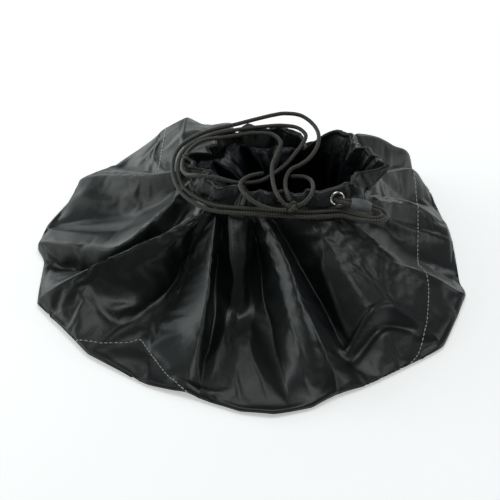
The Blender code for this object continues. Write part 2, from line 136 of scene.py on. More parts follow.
class Shade:
    """A Principled material whose nodes are added by name."""

    def __init__(self, name):
        self.material = bpy.data.materials.new(name)
        self.material.use_nodes = True
        self.tree = self.material.node_tree
        self.shader = self.tree.nodes["Principled BSDF"]
        self.place = self.tree.nodes.new("ShaderNodeTexCoord").outputs["Object"]

    def set(self, **values):
        """Constant values, straight on the shader's sockets. Underscores in the names stand for spaces."""
        for name, value in values.items():
            self.shader.inputs[name.replace("_", " ")].default_value = value
        return self

    def add(self, kind, **inputs):
        node = self.tree.nodes.new(kind)
        for name, value in inputs.items():
            socket = node.inputs[name.replace("_", " ")]
            if isinstance(value, bpy.types.NodeSocket):
                self.tree.links.new(value, socket)
            else:
                socket.default_value = value
        return node

    def noise(self, scale, detail):
        node = self.add("ShaderNodeTexNoise", Vector=self.place, Scale=scale, Detail=detail)
        return node.outputs[0]

    def ramp(self, value, low, high, low_at=0.0, high_at=1.0):
        """A value mapped from low_at..high_at to low..high, which are both colours or both numbers."""
        colours = not isinstance(low, (int, float))
        node = self.add("ShaderNodeMapRange", Value=value)
        node.inputs["From Min"].default_value = low_at
        node.inputs["From Max"].default_value = high_at
        if not colours:
            node.inputs["To Min"].default_value = low
            node.inputs["To Max"].default_value = high
            return node.outputs[0]
        mix = self.tree.nodes.new("ShaderNodeMix")
        mix.data_type = "RGBA"
        self.tree.links.new(node.outputs[0], mix.inputs["Factor"])
        mix.inputs["A"].default_value = (*low, 1)
        mix.inputs["B"].default_value = (*high, 1)
        return mix.outputs["Result"]

    def maths(self, operation, a, b=0.5):
        node = self.tree.nodes.new("ShaderNodeMath")
        node.operation = operation
        for socket, value in zip(node.inputs, (a, b)):
            if isinstance(value, bpy.types.NodeSocket):
                self.tree.links.new(value, socket)
            else:
                socket.default_value = value
        return node.outputs[0]

    def weave(self, period):
        """A plain weave: threads along and across, in the plan of the object."""
        split = self.add("ShaderNodeSeparateXYZ", Vector=self.place)
        turn = 2 * math.pi / period
        warp = self.maths("SINE", self.maths("MULTIPLY", split.outputs[0], turn))
        slant = self.maths("ADD", split.outputs[1], split.outputs[2])
        weft = self.maths("SINE", self.maths("MULTIPLY", slant, turn))
        return self.maths("MULTIPLY", warp, weft)

    def bump(self, height, strength, distance, below=None):
        node = self.add("ShaderNodeBump", Height=height, Strength=strength, Distance=distance)
        if below:
            self.tree.links.new(below, node.inputs["Normal"])
        return node.outputs[0]

    def link(self, name, value):
        self.tree.links.new(value, self.shader.inputs[name])
        return self


def coated_nylon(name, dark, light, roughness):
    """Coated taffeta: nearly black, with a low gloss, faint rubbed patches and a fine weave."""
    shade = Shade(name)
    patches = shade.noise(9.0, 6.0)
    shade.link("Base Color", shade.ramp(patches, dark, light, 0.35, 0.7))
    gloss = shade.ramp(shade.noise(28.0, 5.0), roughness - 0.05, roughness + 0.08, 0.3, 0.7)
    shade.link("Roughness", gloss)
    soft = shade.bump(shade.noise(240.0, 4.0), 0.25, 0.0006)
    shade.link("Normal", shade.bump(shade.weave(0.0006), 0.10, 0.0001, soft))
    shade.set(Specular_IOR_Level=0.5)
    return shade.material


def braided_cord():
    """Dull olive-black braid. UV runs along the cord in millimetres and once round it."""
    shade = Shade("braided_cord")
    uv = shade.tree.nodes.new("ShaderNodeUVMap").outputs[0]
    split = shade.add("ShaderNodeSeparateXYZ", Vector=uv)
    along = shade.maths("MULTIPLY", split.outputs[0], 2 * math.pi * BRAID_PER_MM)
    round_it = shade.maths("MULTIPLY", split.outputs[1], 2 * math.pi * BRAID_STRANDS)
    one = shade.maths("SINE", shade.maths("ADD", along, round_it))
    other = shade.maths("SINE", shade.maths("SUBTRACT", along, round_it))
    braid = shade.maths("MULTIPLY", one, other)
    fibre = shade.noise(2600.0, 2.0)
    tone = shade.maths("ADD", braid, shade.maths("MULTIPLY", fibre, 0.9))
    shade.link("Base Color", shade.ramp(tone, (0.002, 0.002, 0.0015), (0.085, 0.080, 0.062), -0.5, 1.5))
    shade.link("Normal", shade.bump(fibre, 0.5, 0.0002))
    shade.set(Roughness=0.62, Specular_IOR_Level=0.45, Sheen_Weight=0.15, Sheen_Roughness=0.4)
    return shade.material


def thread(name, dark, light):
    shade = Shade(name)
    shade.link("Base Color", shade.ramp(shade.noise(900.0, 2.0), dark, light, 0.3, 0.7))
    shade.link("Normal", shade.bump(shade.noise(5200.0, 1.0), 0.4, 0.0001))
    shade.set(Roughness=0.75)
    return shade.material


def nickel():
    shade = Shade("nickel")
    tone = shade.ramp(shade.noise(420.0, 4.0), (0.62, 0.59, 0.54), (0.86, 0.84, 0.79), 0.3, 0.65)
    shade.link("Base Color", tone)
    shade.link("Roughness", shade.ramp(shade.noise(900.0, 4.0), 0.14, 0.34, 0.35, 0.7))
    shade.link("Normal", shade.bump(shade.noise(1500.0, 3.0), 0.08, 0.0001))
    shade.set(Metallic=1.0)
    return shade.material


def stop_plastic():
    shade = Shade("stop_plastic")
    tone = shade.ramp(shade.noise(160.0, 5.0), (0.085, 0.09, 0.09), (0.13, 0.135, 0.135), 0.3, 0.7)
    shade.link("Base Color", tone)
    shade.link("Roughness", shade.ramp(shade.noise(700.0, 3.0), 0.42, 0.58, 0.3, 0.7))
    shade.link("Normal", shade.bump(shade.noise(2400.0, 2.0), 0.12, 0.0001))
    shade.set(Specular_IOR_Level=0.5)
    return shade.material


# ---------------- meshes


def grid_object(name, rows, material, closed, cap_ends=False):
    """A mesh object from rows of points. closed joins each row's end to its start."""
    rows = np.asarray(rows, float)
    count, size = rows.shape[:2]
    around = size if closed else size - 1
    faces = []
    for i in range(count - 1):
        for j in range(around):
            k = (j + 1) % size
            faces.append((i * size + j, i * size + k, (i + 1) * size + k, (i + 1) * size + j))
    if cap_ends:
        faces.append(tuple(range(size))[::-1])
        faces.append(tuple((count - 1) * size + j for j in range(size)))
    mesh = bpy.data.meshes.new(name)
    mesh.from_pydata([tuple(p) for p in rows.reshape(-1, 3)], [], faces)
    mesh.shade_smooth()
    piece = bpy.data.objects.new(name, mesh)
    bpy.context.scene.collection.objects.link(piece)
    if material:
        mesh.materials.append(material)
    return piece


def coordinates(mesh):
    found = np.zeros(len(mesh.vertices) * 3)
    mesh.vertices.foreach_get("co", found)
    return found.reshape(-1, 3)


def move_to(mesh, points):
    mesh.vertices.foreach_set("co", np.asarray(points, float).ravel())
    mesh.update()


def catmull_rom(a, b, c, d, t):
    """The smooth curve from b to c, at t from 0 to 1, with a before it and d after it."""
    return 0.5 * (2 * b + (c - a) * t + (2 * a - 5 * b + 4 * c - d) * t**2 + (3 * b - a - 3 * c + d) * t**3)


def lengths_along(points):
    """How far each point of a line lies along it."""
    return np.concatenate([[0], np.cumsum(np.linalg.norm(np.diff(points, axis=0), axis=1))])


def spline(values, at):
    """Catmull-Rom through evenly spaced values (any shape after the first axis), read at at (0 to 1)."""
    values = np.asarray(values, float)
    ends = np.concatenate([[2 * values[0] - values[1]], values, [2 * values[-1] - values[-2]]])
    place = np.clip(at, 0, 1) * (len(values) - 1)
    i = np.minimum(place.astype(int), len(values) - 2)
    t = place - i
    t = t.reshape(t.shape + (1,) * (values.ndim - 1))
    return catmull_rom(ends[i], ends[i + 1], ends[i + 2], ends[i + 3], t)


# ---------------- the bag's main shapes

MOUTH_CENTRE = Vector((0.026, 0.043))
MOUTH_HALF_WIDTH = 0.076
MOUTH_HALF_DEPTH = 0.045
MOUTH_HEIGHT = 0.074
MOUTH_TILT = 0.003
EYELET_ANGLE = math.radians(-51)
CORD_IN_CASING = 0.009
CORD_RADIUS = 0.00175
WALL_ROWS = 64
WALL_STEPS = 444
UNDER_ROWS = 5

# The folds of the wall, anticlockwise from the back. Each line runs from the mouth to the rim, in
# millimetres. The first number is how sharp the line is: 0 is a rounded fold and 1 a crease.
FOLDS = (
    (0.1, (26, 90, 75), (22, 108, 60), (16, 135, 36), (12, 156, 16), (10, 165, 4)),
    (0.2, (10, 88, 70), (2, 108, 42), (-4, 130, 22), (-8, 150, 10), (-10, 164, 4)),
    (0.2, (-6, 86, 76), (-10, 108, 66), (-14, 135, 56), (-16, 160, 42), (-14, 173, 6)),
    (0.1, (-14, 83, 74), (-24, 105, 62), (-32, 130, 54), (-36, 157, 43), (-36, 173, 6)),
    (0.6, (-24, 80, 76), (-46, 95, 63), (-58, 111, 55), (-57, 140, 51), (-54, 168, 43), (-52, 177, 8)),
    (0.1, (-34, 75, 73), (-62, 92, 52), (-80, 116, 45), (-79, 138, 42), (-76, 156, 37), (-74, 164, 6)),
    (0.1, (-41, 69, 71), (-72, 84, 50), (-94, 104, 38), (-108, 115, 31), (-118, 122, 25),
     (-122, 126, 4)),
    (0.3, (-47, 63, 74), (-64, 60, 70), (-91, 76, 54), (-120, 97, 37), (-144, 107, 24), (-149, 111, 4)),
    (0.2, (-50, 56, 70), (-75, 53, 44), (-108, 63, 21), (-145, 69, 10), (-172, 70, 4)),
    (0.0, (-52, 44, 70), (-76, 20, 56), (-108, -2, 42), (-133, 9, 31), (-156, 24, 22), (-176, 38, 12),
     (-179, 40, 3)),
    (0.4, (-48, 34, 62), (-72, 10, 39), (-112, -9, 22), (-145, 10, 9), (-173, 22, 3)),
    (0.4, (-36, 8, 73), (-70, -8, 60), (-108, -16, 46), (-141, -24, 30), (-168, -30, 15),
     (-176, -32, 4)),
    (0.7, (-36, 2, 70), (-70, -18, 50), (-100, -27, 36), (-124, -31, 26), (-137, -46, 18),
     (-150, -70, 5)),
    (0.1, (-36, 0, 60), (-52, -10, 38), (-66, -27, 18), (-85, -45, 10), (-108, -66, 7), (-131, -96, 4)),
    (0.1, (-34, -4, 60), (-50, -23, 34), (-60, -40, 18), (-71, -68, 10), (-76, -98, 7), (-83, -131, 3)),
    (0.1, (-27, 2, 74), (-31, -30, 60), (-34, -61, 43), (-39, -89, 28), (-45, -113, 16),
     (-52, -143, 5)),
    (0.3, (-22, 2, 62), (-28, -30, 28), (-30, -60, 15), (-34, -90, 9), (-38, -118, 7), (-41, -148, 3)),
    (0.5, (-17, 0, 73), (-16, -27, 56), (-15, -46, 38), (-19, -64, 20), (-24, -92, 14), (-30, -124, 9),
     (-33, -152, 3)),
    (0.3, (-5, 0, 72), (-4, -27, 52), (-6, -48, 32), (-10, -64, 17), (-13, -92, 17), (-10, -130, 11),
     (-8, -163, 3)),
    (0.1, (0, 0, 68), (2, -27, 44), (3, -56, 20), (0, -85, 19), (1, -105, 17), (9, -132, 12),
     (18, -167, 4)),
    (0.2, (4, 0, 62), (7, -16, 40), (11, -40, 21), (17, -72, 12), (21, -102, 8), (27, -136, 6),
     (32, -164, 3)),
    (0.2, (8, -2, 70), (20, -44, 51), (32, -88, 36), (42, -124, 20), (50, -158, 3)),
    (0.3, (13, -3, 73), (30, -43, 62), (44, -80, 48), (56, -110, 35), (66, -132, 20), (70, -144, 4)),
    (0.2, (22, -2, 62), (41, -22, 36), (61, -58, 18), (75, -95, 10), (82, -120, 7), (90, -134, 3)),
    (0.4, (46, -1, 71), (55, -21, 58), (60, -41, 46), (69, -63, 31), (80, -87, 16), (93, -110, 8),
     (103, -126, 3)),
    (0.0, (52, 0, 73), (68, -28, 58), (86, -58, 42), (102, -82, 26), (114, -100, 12), (121, -113, 3)),
    (0.0, (58, 1, 73), (83, -30, 55), (106, -51, 39), (127, -65, 25), (149, -76, 11), (158, -84, 3)),
    (0.2, (64, 2, 74), (81, -2, 67), (102, -13, 56), (122, -26, 43), (145, -22, 28), (162, -24, 18),
     (179, -22, 4)),
    (0.1, (82, 9, 66), (98, 16, 52), (114, 20, 38), (135, 12, 22), (158, 1, 11), (175, -4, 3)),
    (0.2, (93, 20, 74), (110, 32, 61), (124, 44, 49), (138, 54, 36), (152, 57, 24), (166, 54, 12),
     (171, 52, 3)),
    (0.1, (99, 34, 68), (117, 58, 45), (132, 76, 28), (146, 92, 15), (158, 103, 3)),
    (0.2, (101, 48, 74), (113, 76, 58), (126, 98, 42), (140, 114, 28), (151, 124, 4)),
    (0.1, (96, 62, 70), (104, 90, 50), (118, 110, 35), (132, 126, 19), (144, 135, 3)),
    (0.4, (80, 76, 76), (86, 110, 70), (108, 129, 53), (124, 137, 37), (136, 143, 25), (140, 146, 4)),
    (0.1, (62, 84, 71), (66, 110, 47), (76, 134, 25), (86, 150, 8), (90, 156, 3)),
    (0.1, (48, 88, 76), (50, 113, 60), (54, 137, 38), (59, 155, 16), (63, 163, 4)),
    (0.2, (37, 90, 70), (35, 112, 44), (35, 138, 20), (36, 157, 8), (37, 166, 3)),
)
UNDERSIDE_INSET = 0.012
UNDERSIDE_HEIGHT = 0.0012
LOWEST_WALL = 0.0025
FOLD_START_INSET = 0.0005
FOLD_START_RISE = 0.002
RIM_GAP_EXTRA = 0.012


def mouth_point(u, outwards=0.0, up=0.0):
    """A point on the mouth's oval at angle u."""
    x = MOUTH_CENTRE.x + (MOUTH_HALF_WIDTH + outwards) * math.cos(u)
    y = MOUTH_CENTRE.y + (MOUTH_HALF_DEPTH + outwards) * math.sin(u)
    return Vector((x, y, MOUTH_HEIGHT + MOUTH_TILT * math.sin(u) + up))


def mouth_angle(x, y):
    return math.atan2((y - MOUTH_CENTRE.y) / MOUTH_HALF_DEPTH, (x - MOUTH_CENTRE.x) / MOUTH_HALF_WIDTH)


def even_line(points, count):
    """A fold line read at even steps of its length."""
    fine = spline(points, np.linspace(0, 1, 200))
    way = lengths_along(fine)
    at = np.linspace(0, way[-1], count)
    return np.stack([np.interp(at, way, fine[:, axis]) for axis in range(3)], axis=1)


def fold_lines():
    """Every fold line at even steps, each from just inside the mouth's oval."""
    lines = []
    for fold in FOLDS:
        points = np.array(fold[1:], float) * MM
        u = mouth_angle(points[0][0], points[0][1])
        start = np.array(mouth_point(u, -FOLD_START_INSET, FOLD_START_RISE))
        lines.append(even_line(np.concatenate([[start], points]), WALL_ROWS))
    return np.array(lines)


def fold_net():
    """The wall's points in rows from mouth to rim: the fold lines, joined across in closed curves."""
    lines = fold_lines()
    sharpness = [fold[0] for fold in FOLDS]
    rim = lines[[*range(len(lines)), 0], -1]
    rim_gap = np.linalg.norm(np.diff(rim, axis=0), axis=1) + RIM_GAP_EXTRA
    edges = np.concatenate([[0], np.cumsum(rim_gap)]) / rim_gap.sum()
    columns = []
    for k in range(WALL_STEPS):
        share = k / WALL_STEPS
        i = int(np.searchsorted(edges, share, side="right")) - 1
        t = (share - edges[i]) / (edges[i + 1] - edges[i])
        a, b, c, d = (lines[(i + step) % len(lines)] for step in (-1, 0, 1, 2))
        round_fold = b + (c - b) * t * t * (3 - 2 * t)
        bend = catmull_rom(a, b, c, d, t)
        straight = b + (c - b) * t
        sharp = sharpness[i] * (1 - t) + sharpness[(i + 1) % len(lines)] * t
        columns.append((0.5 * round_fold + 0.5 * bend) * (1 - sharp) + straight * sharp)
    return np.array(columns).transpose(1, 0, 2)


# Small folds laid over the large ones: a route in plan, its height and its half width, in millimetres.
SMALL_FOLDS = (
    (((78, -101), (94, -84), (110, -68)), 7, 5.5),
    (((82, -106), (100, -86), (113, -77), (131, -76)), -8, 5),
    (((-114, -52), (-102, -50), (-90, -46)), 5, 6),
    (((-160, 14), (-145, 9), (-112, -10), (-80, 4)), -7, 5),
    (((118, 28), (140, 34), (164, 40)), 3, 4),
    (((116, 50), (138, 58), (160, 62)), 3, 4),
    (((110, 70), (130, 80), (150, 86)), -3, 4),
    (((-162, 58), (-130, 46), (-96, 36)), -3, 5),
    (((-150, 92), (-120, 76), (-92, 66)), 2.5, 5),
    (((-60, -130), (-40, -142), (-24, -146)), 2, 5),
    (((40, -60), (50, -95), (58, -125)), -2, 4),
)


def add_small_folds(rows):
    """Raises and sinks the net along the small folds, fading out at their ends."""
    for route, height, width in SMALL_FOLDS:
        line = spline(np.array(route, float), np.linspace(0, 1, 60)) * MM
        fade = np.sin(np.pi * np.linspace(0.04, 0.96, 60)) ** 0.5
        away = np.linalg.norm(rows[:, :, None, :2] - line[None, None], axis=3)
        reach = np.exp(-((away / (width * MM)) ** 2)) * fade
        rows[:, :, 2] += height * MM * reach.max(axis=2)
    rows[:, :, 2] = np.maximum(rows[:, :, 2], LOWEST_WALL)
    return rows


def with_underside(rows):
    """Rolls the wall's rim under, to the edge of the base."""
    edge = rows[-1]
    middle = edge.mean(axis=0)
    inwards = middle - edge
    inwards[:, 2] = 0
    inwards /= np.linalg.norm(inwards, axis=1)[:, None]
    under = []
    for k in range(1, UNDER_ROWS + 1):
        share = k / UNDER_ROWS
        row = edge + inwards * UNDERSIDE_INSET * share
        row[:, 2] = edge[:, 2] * (1 - share) ** 2 + UNDERSIDE_HEIGHT * (1 - (1 - share) ** 2)
        under.append(row)
    return np.concatenate([rows, under])


# How firmly the simulation holds the wall: 1 doesn't move and 0 is free.
PIN_FULL = 1.0
PIN_BELOW_MOUTH = 0.3
PIN_RIM = 0.5
PIN_CREST = 0.22
PIN_LOBE = 0.12
CREST_REACH = 18
CREST_RISE = 0.006
# Two wide lobes of the wall that stay smooth, as (place in plan, radius).
SMOOTH_LOBES = (((0.100, -0.040), 0.040), ((-0.040, -0.085), 0.030))

# Frames simulated, how much the cloth grows, and the furthest that a point may move.
WALL_SETTLING = (22, 0.018, 0.014)
SMALL_SETTLING = (14, 0.03, 0.004)
GROUND_GAP = 0.001
CLOTH_GAP = 0.0012
CLOTH_SETTINGS = {
    "quality": 5,
    "mass": 0.0004,
    "tension_stiffness": 12,
    "compression_stiffness": 12,
    "shear_stiffness": 4,
    "bending_stiffness": 0.08,
    "tension_damping": 4,
    "compression_damping": 4,
    "air_damping": 2,
}


def near_place(rows, place, reach):
    """A soft 0 to 1 mask round a place in plan."""
    away = np.linalg.norm(rows[:, :, :2] - np.array(place), axis=2)
    return np.exp(-((away / reach) ** 2))


def pin_weights(rows):
    """The mouth and the underside are held fully, and the tops of the folds a little."""
    heights = rows[:, :, 2]
    steps = range(-CREST_REACH, CREST_REACH + 1)
    local = sum(np.roll(heights, step, axis=1) for step in steps) / len(steps)
    weights = PIN_CREST * np.clip((heights - local) / CREST_RISE, 0, 1)
    lobes = sum(near_place(rows, place, reach) for place, reach in SMOOTH_LOBES)
    weights = np.maximum(weights, PIN_LOBE * np.minimum(lobes, 1.0))
    weights[:2] = PIN_FULL
    weights[2:5] = np.maximum(weights[2:5], PIN_BELOW_MOUTH)
    weights[-UNDER_ROWS - 1:-UNDER_ROWS] = PIN_RIM
    weights[-UNDER_ROWS:] = PIN_FULL
    return weights


def add_ground():
    """A floor that the cloth comes to rest on."""
    corners = [[(-1, -1, 0), (1, -1, 0)], [(-1, 1, 0), (1, 1, 0)]]
    ground = grid_object("cloth_ground", corners, None, closed=False)
    ground.modifiers.new("collision", "COLLISION")
    ground.collision.thickness_outer = GROUND_GAP
    return ground


def add_cloth(piece, frames, growth):
    made = piece.modifiers.new("cloth", "CLOTH")
    for name, value in CLOTH_SETTINGS.items():
        setattr(made.settings, name, value)
    made.settings.shrink_min = -growth
    made.settings.vertex_group_mass = "pin"
    made.settings.pin_stiffness = 1.0
    made.collision_settings.distance_min = CLOTH_GAP
    made.point_cache.frame_start = 1
    made.point_cache.frame_end = frames
    return made


def play(frames):
    scene = bpy.context.scene
    scene.frame_start = 1
    scene.frame_end = frames
    for number in range(1, frames + 1):
        scene.frame_set(number)


def settle_as_cloth(piece, weights, settling):
    """Lets a mesh sag and wrinkle as cloth over the floor, then bakes the result."""
    frames, growth, most = settling
    pins = piece.vertex_groups.new(name="pin")
    for i, weight in enumerate(weights.ravel()):
        pins.add([i], float(weight), "REPLACE")
    start = coordinates(piece.data)
    ground = add_ground()
    cloth = add_cloth(piece, frames, growth)
    play(frames)
    seen = piece.evaluated_get(bpy.context.evaluated_depsgraph_get())
    moved = coordinates(seen.data) - start
    piece.modifiers.remove(cloth)
    piece.vertex_groups.remove(pins)
    bpy.data.objects.remove(ground)
    bpy.context.scene.frame_set(1)
    far = np.linalg.norm(moved, axis=1)
    moved *= (np.minimum(far, most) / np.maximum(far, 1e-9))[:, None]
    move_to(piece.data, start + moved)
    return (start + moved).reshape(-1, len(weights[0]), 3)


def wall_shell(material):
    rows = with_underside(add_small_folds(fold_net()))
    shell = grid_object("wall_shell", rows, material, closed=True)
    rows = settle_as_cloth(shell, pin_weights(rows), WALL_SETTLING)
    return shell, rows


# ---------------- cords

# The first cord end: from the eyelet through the stop, once round the mouth and to the knot.
FIRST_CORD = (
    (0.0727, 0.0134, 0.0803), (0.074, 0.0102, 0.0815), (0.0758, 0.007, 0.0827),
    (0.0788, 0.0052, 0.0834), (0.083, 0.005, 0.083), (0.092, 0.005, 0.0801), (0.102, 0.005, 0.0768),
    (0.107, 0.0038, 0.0756), (0.1112, 0.0, 0.0754), (0.1128, -0.0055, 0.076), (0.1112, -0.0112, 0.0772),
    (0.106, -0.0155, 0.0784), (0.097, -0.0155, 0.079), (0.087, -0.01, 0.0765),
    (0.0755, -0.0036, 0.0745), (0.049, -0.007, 0.076), (0.026, -0.0078, 0.078),
    (-0.003, -0.0048, 0.078), (-0.031, 0.002, 0.0755), (-0.046, 0.0115, 0.0755),
    (-0.058, 0.026, 0.0765), (-0.063, 0.0405, 0.078), (-0.0645, 0.054, 0.08), (-0.0625, 0.0655, 0.084),
    (-0.0565, 0.0725, 0.089), (-0.045, 0.077, 0.0945), (-0.032, 0.08, 0.0985), (-0.011, 0.0848, 0.101),
    (0.01, 0.091, 0.103), (0.029, 0.0955, 0.104), (0.0423, 0.0941, 0.103), (0.052, 0.086, 0.101),
    (0.057, 0.074, 0.0995), (0.056, 0.0594, 0.0975), (0.049, 0.0456, 0.0955), (0.0415, 0.0395, 0.0935),
    (0.034, 0.036, 0.0915), (0.03, 0.028, 0.09), (0.029, 0.016, 0.09), (0.0307, 0.0035, 0.0908),
    (0.0324, -0.002, 0.0881),
)
# The second cord end: beside the first one, then once more round the mouth on the inside, to the knot.
SECOND_CORD = (
    (0.069, 0.0118, 0.0801), (0.0704, 0.0086, 0.0814), (0.0723, 0.005, 0.0826), (0.0765, 0.002, 0.0838),
    (0.083, 0.001, 0.083), (0.092, 0.001, 0.0801), (0.102, 0.001, 0.0768), (0.106, -0.0004, 0.076),
    (0.1082, -0.0045, 0.0762), (0.107, -0.0092, 0.0774), (0.102, -0.0118, 0.0786),
    (0.087, -0.005, 0.0765), (0.0755, 0.0012, 0.075), (0.049, -0.003, 0.0775), (0.026, -0.004, 0.0798),
    (-0.003, -0.0008, 0.0798), (-0.0295, 0.0065, 0.0772), (-0.043, 0.0155, 0.0768),
    (-0.054, 0.028, 0.077), (-0.0588, 0.041, 0.078), (-0.06, 0.053, 0.08), (-0.0583, 0.0625, 0.0838),
    (-0.0525, 0.069, 0.0885), (-0.042, 0.073, 0.0935), (-0.03, 0.0758, 0.0972),
    (-0.011, 0.0812, 0.0978), (0.01, 0.085, 0.098), (0.027, 0.0865, 0.0982), (0.04, 0.0835, 0.098),
    (0.0465, 0.0755, 0.0968), (0.044, 0.0655, 0.0955), (0.0375, 0.054, 0.094), (0.0305, 0.044, 0.0915),
    (0.022, 0.036, 0.089), (0.01, 0.0285, 0.086), (-0.009, 0.0225, 0.088), (-0.027, 0.0225, 0.0935),
    (-0.043, 0.0255, 0.0935), (-0.053, 0.034, 0.088), (-0.056, 0.045, 0.0865), (-0.0545, 0.056, 0.0885),
    (-0.0485, 0.064, 0.0925), (-0.038, 0.069, 0.0965), (-0.024, 0.071, 0.0972), (0.004, 0.0765, 0.098),
    (0.019, 0.0745, 0.0978), (0.0255, 0.065, 0.0975), (0.0225, 0.051, 0.0965), (0.0185, 0.0375, 0.095),
    (0.0185, 0.021, 0.0935), (0.0205, 0.008, 0.0925), (0.024, -0.001, 0.0912), (0.029, -0.0056, 0.0875),
)
# The two tails beyond the knot.
RIGHT_TAIL = (
    (0.0388, -0.0055, 0.0865), (0.044, -0.004, 0.0885), (0.049, 0.001, 0.0907), (0.0515, 0.009, 0.0912),
    (0.0515, 0.019, 0.0905), (0.0485, 0.027, 0.089), (0.043, 0.0315, 0.0875), (0.037, 0.033, 0.0865),
)
LEFT_TAIL = (
    (0.03, -0.0088, 0.085), (0.022, -0.0095, 0.0855), (0.013, -0.0075, 0.0867),
    (0.004, -0.0035, 0.0887), (-0.004, 0.0035, 0.091), (-0.008, 0.012, 0.092), (-0.0065, 0.021, 0.0917),
    (0.0, 0.028, 0.091), (0.008, 0.0315, 0.0905),
)

KNOT_CENTRE = Vector((0.034, -0.006, 0.086))
BRAID_PER_MM = 0.22
BRAID_STRANDS = 5
BRAID_STEP = 0.0006
BRAID_SIDES = 20
BRAID_RIB = 0.06
CORD_POINT_STEP = 3.2 * 2 * CORD_RADIUS
FINE_STEP = 0.0009


def smooth_line(knots, spacing):
    """Points about spacing apart on a centripetal Catmull-Rom curve through the knots."""
    ends = [knots[0] * 2 - knots[1], *knots, knots[-1] * 2 - knots[-2]]
    points = []
    for a, b, c, d in zip(ends, ends[1:], ends[2:], ends[3:]):
        t1 = (b - a).length ** 0.5
        t2 = t1 + (c - b).length ** 0.5
        t3 = t2 + (d - c).length ** 0.5
        count = max(1, round((c - b).length / spacing))
        for i in range(count):
            t = t1 + (t2 - t1) * i / count
            ab = a.lerp(b, t / t1)
            bc = b.lerp(c, (t - t1) / (t2 - t1))
            cd = c.lerp(d, (t - t2) / (t3 - t2))
            abc = ab.lerp(bc, t / t2)
            bcd = bc.lerp(cd, (t - t1) / (t3 - t1))
            points.append(abc.lerp(bcd, (t - t1) / (t2 - t1)))
    return points + [knots[-1]]


def braided_rows(line, at):
    """Rings of points round a line, with the ribs of a braid. at is each point's length along it."""
    across = Vector((0, 0, 1))
    rows = []
    for i, point in enumerate(line):
        along = Vector(line[min(i + 1, len(line) - 1)] - line[max(i - 1, 0)]).normalized()
        across = (across - along * across.dot(along)).normalized()
        side = along.cross(across)
        twist = 2 * math.pi * BRAID_PER_MM * at[i] / MM
        row = []
        for j in range(BRAID_SIDES):
            turn = 2 * math.pi * j / BRAID_SIDES
            rib = math.sin(twist + BRAID_STRANDS * turn) * math.sin(twist - BRAID_STRANDS * turn)
            reach = CORD_RADIUS * (1 - BRAID_RIB + BRAID_RIB * rib)
            row.append(Vector(point) + (across * math.cos(turn) + side * math.sin(turn)) * reach)
        rows.append(row)
    return rows


def add_braid_uv(piece, at):
    """UV along the cord in millimetres and once round it. The last strip's far side is at 1."""
    layer = piece.data.uv_layers.new(name="braid")
    for face in piece.data.polygons:
        last = max(vertex % BRAID_SIDES for vertex in face.vertices) == BRAID_SIDES - 1
        wraps = len(face.vertices) == 4 and last
        for corner in face.loop_indices:
            row, side = divmod(piece.data.loops[corner].vertex_index, BRAID_SIDES)
            turn = 1.0 if wraps and side == 0 else side / BRAID_SIDES
            layer.data[corner].uv = (at[row] / MM, turn)


def braided_tube(name, points, material):
    """A round braided tube along a line of close points. Its ends are closed."""
    points = np.array([tuple(p) for p in points])
    way = lengths_along(points)
    at = np.linspace(0, way[-1], max(4, int(way[-1] / BRAID_STEP)))
    line = np.stack([np.interp(at, way, points[:, axis]) for axis in range(3)], axis=1)
    piece = grid_object(name, braided_rows(line, at), material, closed=True, cap_ends=True)
    add_braid_uv(piece, at)
    return piece


def cord_path(route):
    """Close points on a smooth curve through a cord's route."""
    knots = smooth_line([Vector(point) for point in route], CORD_POINT_STEP)
    return smooth_line(knots, FINE_STEP)


# ---------------- collar and lining

COLLAR_STEPS = 640
COLLAR_HEIGHT = 0.0173
COLLAR_SIDE_ROWS = 14
COLLAR_TOP = 0.86
COLLAR_THICKNESS = 0.0074
COLLAR_RISE = 0.0003
COLLAR_FOLD_HEIGHT = 0.0022
COLLAR_FOLD_STEPS = 8
COLLAR_BELLY = 0.0006
COLLAR_PUCKER = 0.0005
COLLAR_PUCKER_DENSITY = 34
CUP_FLARE = 0.009
# The collar's gathers: their density, place in the noise, change up the collar, and height.
GATHERS = (
    (2.6, (3.1, 0.4), 0.25, 0.0120),
    (5.5, (0.7, 7.3), 0.5, 0.0110),
    (12.0, (4.4, 1.9), 0.8, 0.0030),
)
# How firmly the simulation holds the collar's cloth, where it isn't held fully.
COLLAR_HOLD = 0.02
LINING_HOLD = 0.05
HEM_STITCH_ROW = 3
HEM_STITCH_START = 14


def near(u, middle, reach):
    """A soft 0 to 1 mask around an angle of the mouth."""
    away = math.remainder(u - middle, 2 * math.pi)
    return math.exp(-((away / reach) ** 2))


def pinch(u, share):
    """Two deep tucks where the collar turns inwards: one beside the cup and a smaller one on the left."""
    beside_cup = 0.022 * near(u, math.radians(67), 0.085)
    left = 0.012 * near(u, math.radians(158), 0.10) + 0.009 * near(u, math.radians(118), 0.09)
    return (beside_cup + left) * share**1.3


def collar_wave(u, share):
    """How far the collar's gathers push it outwards. They grow from its lower edge to its top."""
    swing = Vector((math.cos(u), math.sin(u), 0.0))
    wave = 0.0
    for density, (x, y), climb, height in GATHERS:
        wave += height * noise.noise(swing * density + Vector((x, y, share * climb)))
    calm = 1 - 0.95 * near(u, EYELET_ANGLE, 0.26)
    front = near(u, math.radians(-105), 0.85)
    wave = wave * (0.35 + 0.85 * share) * calm
    return wave * (1 - front) + min(wave, 0.0) * front - 0.0004 * front - pinch(u, share)


def lean_at(u):
    """How far the collar leans outwards at angle u, for each metre of its height: inwards over the front."""
    return -0.15 + 0.30 * math.sin(u)


def collar_lean(u, share):
    """The collar leans in over the front, and flares outwards as a cup on the right."""
    cup = near(u, math.radians(20), 0.85) * (1 - near(u, EYELET_ANGLE, 0.45))
    return COLLAR_HEIGHT * share * lean_at(u) + CUP_FLARE * cup * share**1.5


